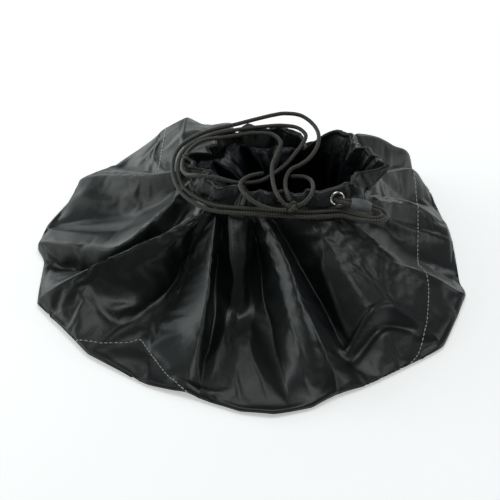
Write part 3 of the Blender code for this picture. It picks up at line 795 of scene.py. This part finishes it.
def collar_height(u):
    swing = Vector((math.cos(u), math.sin(u), 0.0))
    change = 0.0040 * noise.noise(swing * 3.4 + Vector((9.2, 2.2, 0)))
    calm = 1 - near(u, EYELET_ANGLE, 0.3)
    return COLLAR_HEIGHT + change * calm


def collar_angle(k):
    return EYELET_ANGLE + 2 * math.pi * k / COLLAR_STEPS


def collar_section():
    """The collar's section, as (depth through it, how far over the hem's edge, share of its height)."""
    section = [(0.0, 0.0, -0.10)]
    section += [(0.0, 0.0, share) for share in np.linspace(0.0, COLLAR_TOP, COLLAR_SIDE_ROWS)]
    for k in range(1, COLLAR_FOLD_STEPS):
        turn = math.pi * k / COLLAR_FOLD_STEPS
        section.append(((1 - math.cos(turn)) / 2, math.sin(turn), COLLAR_TOP))
    inner = np.linspace(COLLAR_TOP, -0.30, COLLAR_SIDE_ROWS + 4)
    return section + [(1.0, 0.0, share) for share in inner]


def collar_point(u, depth, over, share):
    at = max(share, 0.0)
    bulge = math.sin(math.pi * min(max(share / COLLAR_TOP, 0), 1))
    belly = COLLAR_BELLY * bulge * (1 - 2 * depth)
    across = COLLAR_PUCKER_DENSITY * math.cos(u)
    along = COLLAR_PUCKER_DENSITY * math.sin(u)
    puckers = COLLAR_PUCKER * noise.noise(Vector((across, along, share * 1.5)))
    puckers *= 1 - near(u, EYELET_ANGLE, 0.2)
    thick = COLLAR_THICKNESS * (1 - 0.35 * at)
    push = collar_wave(u, at) + collar_lean(u, at) + belly + puckers - depth * thick
    up = COLLAR_RISE + collar_height(u) * share + over * COLLAR_FOLD_HEIGHT
    return mouth_point(u, push, up)


def collar_rows():
    """The collar as one folded band: up its outer face, over the hem's edge and down the inner face."""
    angles = [collar_angle(k) for k in range(COLLAR_STEPS)]
    return np.array([[collar_point(u, *place) for u in angles] for place in collar_section()])


def collar_weights(rows):
    """The collar's lower edges and the cloth round the eyelet are held. The rest may crumple."""
    weights = np.full(rows.shape[:2], COLLAR_HOLD)
    weights[:3] = PIN_FULL
    weights[-6:] = PIN_FULL
    for k in range(COLLAR_STEPS):
        weights[:, k] = np.maximum(weights[:, k], near(collar_angle(k), EYELET_ANGLE, 0.16))
    return weights


def make_collar(material):
    rows = collar_rows()
    collar = grid_object("collar", rows, material, closed=True)
    rows = settle_as_cloth(collar, collar_weights(rows), SMALL_SETTLING)
    return collar, rows


def casing_cord_line(rows):
    """The drawcord's place between the collar's two faces, short of the eyelet on both sides."""
    outer = COLLAR_SIDE_ROWS // 2 + 1
    inner = len(rows) - 1 - outer - 2
    middle = (rows[outer] + rows[inner]) / 2
    skip = COLLAR_STEPS // 64
    return [Vector(point) for point in middle[skip:-skip:10]]


# The lining's funnel from the hem to the floor: shares of the mouth's width and depth, and the height.
FUNNEL = (
    (0.905, 0.84, 0.08), (0.85, 0.78, 0.083), (0.76, 0.7, 0.082), (0.66, 0.64, 0.076),
    (0.585, 0.61, 0.064), (0.56, 0.6, 0.05), (0.6, 0.64, 0.038), (0.7, 0.74, 0.024),
    (0.85, 0.88, 0.012), (0.98, 1.02, 0.005), (1.05, 1.12, 0.003),
)
FUNNEL_ROWS = 44
FUNNEL_STEPS = 300
FUNNEL_LOWEST = 0.0028
FUNNEL_HIGHEST = 0.0845


def lining_point(u, share, narrow, shallow, low):
    """A point of the lining at angle u. Under the cup on the right it hangs steeper than elsewhere."""
    grow = math.sin(math.pi * min(share * 1.25, 1.0))
    cup = near(u, math.radians(25), 0.9)
    steep = 0.905 - 0.10 * grow + 0.10 * share
    wide = narrow + max(steep - narrow, 0.0) * cup
    deep = shallow + max(steep - 0.05 - shallow, 0.0) * cup
    height = low + (0.079 - 0.076 * share - low) * cup
    swing = Vector((math.cos(u), math.sin(u), 0.0))
    gather = (0.026 - 0.012 * cup) * noise.noise(swing * 3.0 + Vector((1.1, 5.5, share * 0.7)))
    gather += 0.011 * noise.noise(swing * 6.5 + Vector((6.1, 0.5, share * 1.4)))
    push = max(gather, -0.007) * grow + collar_wave(u, 0.0) * (1 - share)
    x = MOUTH_CENTRE.x + (MOUTH_HALF_WIDTH * wide + push) * math.cos(u)
    y = MOUTH_CENTRE.y + (MOUTH_HALF_DEPTH * deep + push) * math.sin(u)
    z = height + gather * 1.3 * grow * (1 - share)
    return x, y, min(max(z, FUNNEL_LOWEST), FUNNEL_HIGHEST)


def lining_rows():
    """The lining: from inside the collar in to a gathered throat, and out to the floor of the bag."""
    profile = spline(np.array(FUNNEL), np.linspace(0, 1, FUNNEL_ROWS))
    angles = [2 * math.pi * k / FUNNEL_STEPS for k in range(FUNNEL_STEPS)]
    rows = []
    for i, ring in enumerate(profile):
        share = i / (FUNNEL_ROWS - 1)
        rows.append([lining_point(u, share, *ring) for u in angles])
    return np.array(rows)


def make_lining(material):
    rows = lining_rows()
    lining = grid_object("lining_funnel", rows, material, closed=True)
    weights = np.full(rows.shape[:2], LINING_HOLD)
    weights[:2] = PIN_FULL
    weights[-5:] = PIN_FULL
    settle_as_cloth(lining, weights, SMALL_SETTLING)
    return lining


# ---------------- base, seams and stitches

BASE_RINGS = 16
BASE_INSET = 0.0070
BASE_HEIGHT = 0.0005
BASE_LINING_INSET = 0.0140
BASE_LINING_HEIGHT = 0.0019
# Stitches as (length, gap between them, thread's radius).
BASE_STITCH = (0.0030, 0.0012, 0.00038)
SMALL_STITCH = (0.0022, 0.0010, 0.00030)
STITCH_SIDES = 6
# Stitched lines in plan, in millimetres.
BASE_SEAM_ROUTES = (
    ((-146, -80), (-128, -84), (-110, -84), (-98, -82), (-90, -79), (-84, -90), (-74, -110),
     (-64, -127), (-52, -142), (-34, -152)),
    ((139, 126), (141, 100), (142, 82), (141, 40), (140, -3), (144, -13), (147, -32), (146, -55),
     (143, -76), (134, -101), (118, -117), (101, -127)),
    ((-72, 158), (-75, 127), (-77, 104), (-78, 88)),
)
SEAM_FLAP_ROUTES = (
    ((-14, -4), (-12.5, -27), (-9, -46)),
    ((-10, -4), (-8.5, -27), (-4, -46)),
)


def base_disc(name, outline, inset, height, material):
    """A flat cloth panel of the base that follows the wall's rim, drawn in by inset."""
    middle = outline.mean(axis=0)
    middle[2] = 0
    flat = outline.copy()
    flat[:, 2] = 0
    reach = np.linalg.norm(flat - middle, axis=1)[:, None]
    edge = middle + (flat - middle) * (1 - inset / reach)
    rows = []
    for i in range(BASE_RINGS + 1):
        share = max(i / BASE_RINGS, 0.004)
        row = middle + (edge - middle) * share
        row[:, 2] = height
        rows.append(row)
    return grid_object(name, rows, material, closed=True)


def on_cloth(tree, x, y):
    """The point of the cloth straight below a place in plan, and its outward normal."""
    point, normal, _, _ = tree.ray_cast(Vector((x, y, 0.3)), Vector((0, 0, -1)))
    if point is None:
        return None
    return point, (normal if normal.z > 0 else -normal)


def cloth_tree(piece):
    vertices = [vertex.co.copy() for vertex in piece.data.vertices]
    return BVHTree.FromPolygons(vertices, [tuple(face.vertices) for face in piece.data.polygons])


def laid_route(tree, plan):
    """A route given in plan, in millimetres, dropped onto the cloth at close steps."""
    flat = spline(np.array(plan, float) * MM, np.linspace(0, 1, 40 * len(plan)))
    found = [on_cloth(tree, x, y) for x, y in flat]
    return [place for place in found if place]


def stitches(name, routes, material, size):
    """One object with a short rounded thread for each stitch, along routes of (point, normal) places."""
    length, gap, radius = size
    work = bmesh.new()
    for route in routes:
        points = np.array([tuple(point + normal * radius * 0.7) for point, normal in route])
        way = lengths_along(points)
        for i in range(int(way[-1] / (length + gap))):
            ends = i * (length + gap) + np.linspace(0, length, 5)
            line = [Vector([np.interp(at, way, points[:, axis]) for axis in range(3)]) for at in ends]
            normal = route[min(int(np.searchsorted(way, ends[2])), len(route) - 1)][1]
            add_stitch(work, line, normal, radius)
    mesh = bpy.data.meshes.new(name)
    work.to_mesh(mesh)
    work.free()
    mesh.shade_smooth()
    mesh.materials.append(material)
    piece = bpy.data.objects.new(name, mesh)
    bpy.context.scene.collection.objects.link(piece)
    return piece


def add_stitch(work, line, normal, radius):
    """A short tube along the five points of line, which dips into the cloth at both ends."""
    rings = []
    for i, point in enumerate(line):
        along = (line[min(i + 1, len(line) - 1)] - line[max(i - 1, 0)]).normalized()
        side = along.cross(normal).normalized()
        up = side.cross(along)
        dip = 1 - (abs(i - 2) / 2) ** 2
        middle = point + normal * radius * (dip - 0.9)
        width = radius * (0.55 + 0.45 * dip)
        ring = []
        for k in range(STITCH_SIDES):
            turn = 2 * math.pi * k / STITCH_SIDES
            spoke = side * math.cos(turn) + up * math.sin(turn)
            ring.append(work.verts.new(middle + spoke * width))
        rings.append(ring)
    for a, b in zip(rings, rings[1:]):
        for k in range(STITCH_SIDES):
            after = (k + 1) % STITCH_SIDES
            work.faces.new((a[k], a[after], b[after], b[k]))
    work.faces.new(rings[0][::-1])
    work.faces.new(rings[-1])


def hem_route(rows):
    """The hem's stitched line on the collar's outer face, from one side of the eyelet to the other."""
    points = [Vector(point) for point in rows[HEM_STITCH_ROW]]
    places = []
    for k in range(HEM_STITCH_START, COLLAR_STEPS - HEM_STITCH_START):
        along = points[k + 1] - points[k - 1]
        up = Vector(rows[HEM_STITCH_ROW + 1][k] - rows[HEM_STITCH_ROW - 1][k])
        places.append((points[k], along.cross(up).normalized()))
    return places


# ---------------- eyelet, stop and knot

EYELET_RADIUS = 0.0065
EYELET_BORE = 0.0041
EYELET_BARREL = 0.0045
EYELET_DEPTH = 0.0040
STOP_NEAR = Vector((0.083, 0.003, 0.083))
STOP_FAR = Vector((0.0992, 0.003, 0.0777))
STOP_HALF_WIDTH = 0.0060
STOP_HALF_HEIGHT = 0.0039
STOP_STEPS = 15
STOP_SIDES = 64
STOP_SLOT_HALF_WIDTH = 0.0042
STOP_SLOT_HALF_HEIGHT = 0.0023
STOP_SLOT_LEAD = 0.004
KNOT_SIZE = 0.00155
KNOT_STEPS = 120


def casing_place(u, depth, height):
    """A point of the CAD casing near the eyelet, where it is smooth."""
    return mouth_point(u, lean_at(u) * height - depth, COLLAR_RISE + height)


def eyelet_frame():
    """The eyelet's middle on the collar's outer face. X runs along the collar and Z looks out."""
    step = 0.05
    point = casing_place(EYELET_ANGLE, 0.0, CORD_IN_CASING)
    along = casing_place(EYELET_ANGLE + step, 0.0, CORD_IN_CASING)
    along = (along - casing_place(EYELET_ANGLE - step, 0.0, CORD_IN_CASING)).normalized()
    above = casing_place(EYELET_ANGLE, 0.0, CORD_IN_CASING + 0.0012)
    out = along.cross(above - point).normalized()
    found = Matrix((along, out.cross(along), out)).transposed().to_4x4()
    found.translation = point
    return found


def turned(name, profile, place, material, steps=72):
    """A turned piece: (radius, height) pairs of a closed section, spun about the Z axis of place."""
    section = spline(np.array(profile + profile[:1]), np.linspace(0, 1, 5 * len(profile)))[:-1]
    rows = []
    for i in range(steps + 1):
        turn = 2 * math.pi * i / steps
        spin = Vector((math.cos(turn), math.sin(turn), 0))
        rows.append([place @ (spin * radius + Vector((0, 0, height))) for radius, height in section])
    return grid_object(name, rows, material, closed=True)


def eyelet_ring(place, material):
    profile = [
        (EYELET_BARREL, -EYELET_DEPTH),
        (EYELET_BARREL, -0.0010),
        (EYELET_BARREL + 0.0003, 0.0002),
        (EYELET_RADIUS - 0.0004, 0.0001),
        (EYELET_RADIUS, 0.0004),
        (EYELET_RADIUS - 0.0004, 0.0011),
        (EYELET_RADIUS - 0.0012, 0.0015),
        (EYELET_BORE + 0.0007, 0.0014),
        (EYELET_BORE + 0.0001, 0.0008),
        (EYELET_BORE, -0.0006),
        (EYELET_BORE, -EYELET_DEPTH),
    ]
    return turned("eyelet_ring", profile, place, material)


def oval(half_width, half_height, along, power):
    """A ring of points on an oval across the stop. A power under 1 makes it squarer."""
    ring = []
    for k in range(STOP_SIDES):
        turn = 2 * math.pi * k / STOP_SIDES
        c, s = math.cos(turn), math.sin(turn)
        x = half_width * math.copysign(abs(c) ** power, c)
        y = half_height * math.copysign(abs(s) ** power, s)
        ring.append(Vector((x, y, along)))
    return ring


def stop_rows():
    """The stop's skin in rows along it: an oval bead with rounded ends and a slot for two cords."""
    length = (STOP_FAR - STOP_NEAR).length
    sections = [(-0.5 * length, 0.5)]
    for share in np.linspace(0, 1, STOP_STEPS):
        away = abs(2 * share - 1)
        sections.append(((share - 0.5) * length, 1 - away**2.2 * 0.27))
    sections.append((0.5 * length, 0.5))
    rows = [oval(STOP_HALF_WIDTH * size, STOP_HALF_HEIGHT * size, along, 0.85) for along, size in sections]
    for depth in (0.0, STOP_SLOT_LEAD, length / 2, length - STOP_SLOT_LEAD, length):
        rows.append(oval(STOP_SLOT_HALF_WIDTH, STOP_SLOT_HALF_HEIGHT, length / 2 - depth, 1.0))
    rows.append(rows[0])
    return rows


def make_stop(material):
    axis = (STOP_FAR - STOP_NEAR).normalized()
    wide = Vector((0, 1, 0))
    place = Matrix((wide, axis.cross(wide), axis)).transposed().to_4x4()
    place.translation = (STOP_NEAR + STOP_FAR) / 2
    rows = [[place @ point for point in row] for row in stop_rows()]
    return grid_object("stop_bead", rows, material, closed=True)


def knot_line():
    """A tight overhand knot of one cord's thickness, as a closed trefoil."""
    points = []
    for k in range(KNOT_STEPS + 1):
        t = 2 * math.pi * k / KNOT_STEPS
        x = KNOT_SIZE * (math.sin(t) + 2 * math.sin(2 * t))
        y = 0.9 * KNOT_SIZE * (math.cos(t) - 2 * math.cos(2 * t))
        z = -1.1 * KNOT_SIZE * math.sin(3 * t)
        points.append(KNOT_CENTRE + Vector((x, y, z)))
    return points


# ---------------- the scene

set_camera()
set_light()
add_floor()
OUTER = coated_nylon("outer_nylon", (0.0030, 0.0042, 0.0045), (0.0068, 0.0092, 0.0096), 0.37)
INNER = coated_nylon("lining_nylon", (0.0022, 0.003, 0.0065), (0.0045, 0.006, 0.011), 0.40)
CORD = braided_cord()
LIGHT_THREAD = thread("light_thread", (0.42, 0.42, 0.40), (0.68, 0.68, 0.65))
DARK_THREAD = thread("dark_thread", (0.006, 0.006, 0.007), (0.016, 0.016, 0.017))
NICKEL = nickel()
PLASTIC = stop_plastic()

shell, wall_rows = wall_shell(OUTER)
collar, hem_rows = make_collar(OUTER)
lining = make_lining(INNER)
rim_line = wall_rows[WALL_ROWS - 1]
base = base_disc("base_cloth", rim_line, BASE_INSET, BASE_HEIGHT, OUTER)
base_inside = base_disc("base_lining_cloth", rim_line, BASE_LINING_INSET, BASE_LINING_HEIGHT, INNER)
tree = cloth_tree(shell)
base_routes = [laid_route(tree, route) for route in BASE_SEAM_ROUTES]
flap_routes = [laid_route(tree, route) for route in SEAM_FLAP_ROUTES]
base_stitches = stitches("base_seam_stitches", base_routes, LIGHT_THREAD, BASE_STITCH)
seam_stitches = stitches("side_seam_stitches", flap_routes, DARK_THREAD, SMALL_STITCH)
hem_stitches = stitches("hem_stitches", [hem_route(hem_rows)], DARK_THREAD, SMALL_STITCH)

ring = eyelet_ring(eyelet_frame(), NICKEL)
stop = make_stop(PLASTIC)
first = braided_tube("drawcord_first", cord_path(FIRST_CORD), CORD)
second = braided_tube("drawcord_second", cord_path(SECOND_CORD), CORD)
right_tail = braided_tube("drawcord_tail_right", cord_path(RIGHT_TAIL), CORD)
left_tail = braided_tube("drawcord_tail_left", cord_path(LEFT_TAIL), CORD)
knot = braided_tube("drawcord_knot", knot_line(), CORD)
held_line = smooth_line(casing_cord_line(hem_rows), FINE_STEP)
held_cord = braided_tube("drawcord_in_casing", held_line, CORD)

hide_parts("wall_panel_front_right", "wall_panel_back_right", "wall_panel_back_left",
            "wall_panel_front_left")
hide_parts("front_seam", "right_seam", "back_seam", "left_seam")
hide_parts("base_seam_thread")
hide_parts("base_panel")
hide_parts("base_lining")
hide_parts("mouth_casing")
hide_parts("hem_thread")
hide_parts("lining_wall")
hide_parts("drawcord_first_end")
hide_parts("drawcord_second_end")
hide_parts("drawcord_right_tail")
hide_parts("drawcord_left_tail")
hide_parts("casing_cord")
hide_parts("end_knot")
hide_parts("eyelet_flange")
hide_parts("cord_stop")
CAD_MATERIALS = {
    "cord_tip_right": CORD,
    "cord_tip_left": CORD,
    "eyelet_patch": OUTER,
    "eyelet_washer": NICKEL,
}
for name, material in CAD_MATERIALS.items():
    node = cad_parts[name]
    node.data.materials.clear()
    node.data.materials.append(material)

for piece in (shell, lining, base_stitches, seam_stitches):
    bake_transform(piece)
for piece in (base, base_inside):
    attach(piece, "bag")
for piece in (collar, hem_stitches, first, second, right_tail, left_tail, knot, held_cord, ring):
    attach(piece, "mouth")
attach(stop, "stop")
